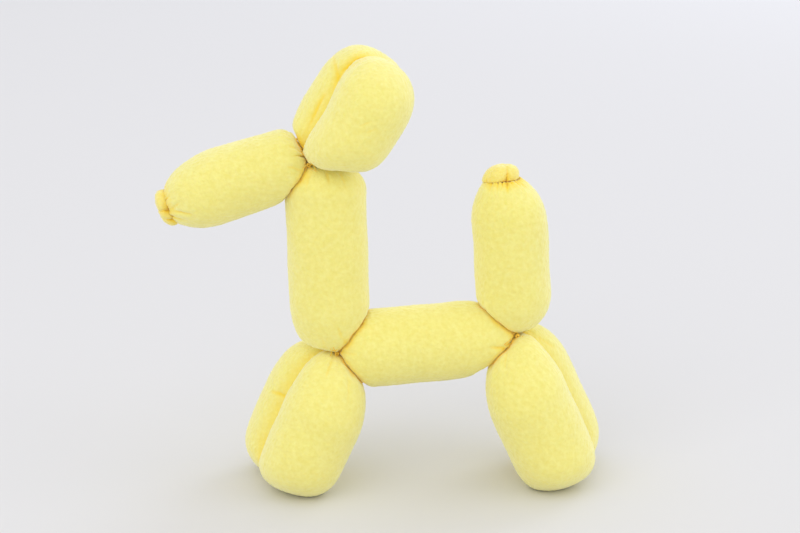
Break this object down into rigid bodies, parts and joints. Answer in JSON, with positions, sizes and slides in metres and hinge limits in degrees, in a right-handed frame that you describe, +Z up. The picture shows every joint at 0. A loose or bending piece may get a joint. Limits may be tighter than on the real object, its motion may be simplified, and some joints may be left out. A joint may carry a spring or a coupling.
{
  "type": "stuffed fleece balloon dog toy",
  "caption": "Soft toy shaped like a dog twisted from a long balloon: stuffed fleece tubes, gathered and sewn together at the joints, standing on folded legs.",
  "frame": {"origin": "middle of the toy's outer box on the floor that it stands on", "axes": "+Z up, -X towards the snout, +X towards the tail, Y across the dog"},
  "size_m": [0.284, 0.0944, 0.2789],
  "materials": {
    "fleece": "pale yellow polar fleece with a short fuzzy nap",
    "knot_fleece": "the same fleece gathered tight, deeper in its folds",
    "thread": "ochre sewing thread, doubled"
  },
  "bodies": {
    "root": {"snout": "fleece", "ears": "fleece", "neck": "fleece", "front_legs": "fleece", "body": "fleece", "hind_legs": "fleece", "tail": "fleece", "nose_knot": "knot_fleece", "tail_knot": "knot_fleece"}
  },
  "joints": []
}
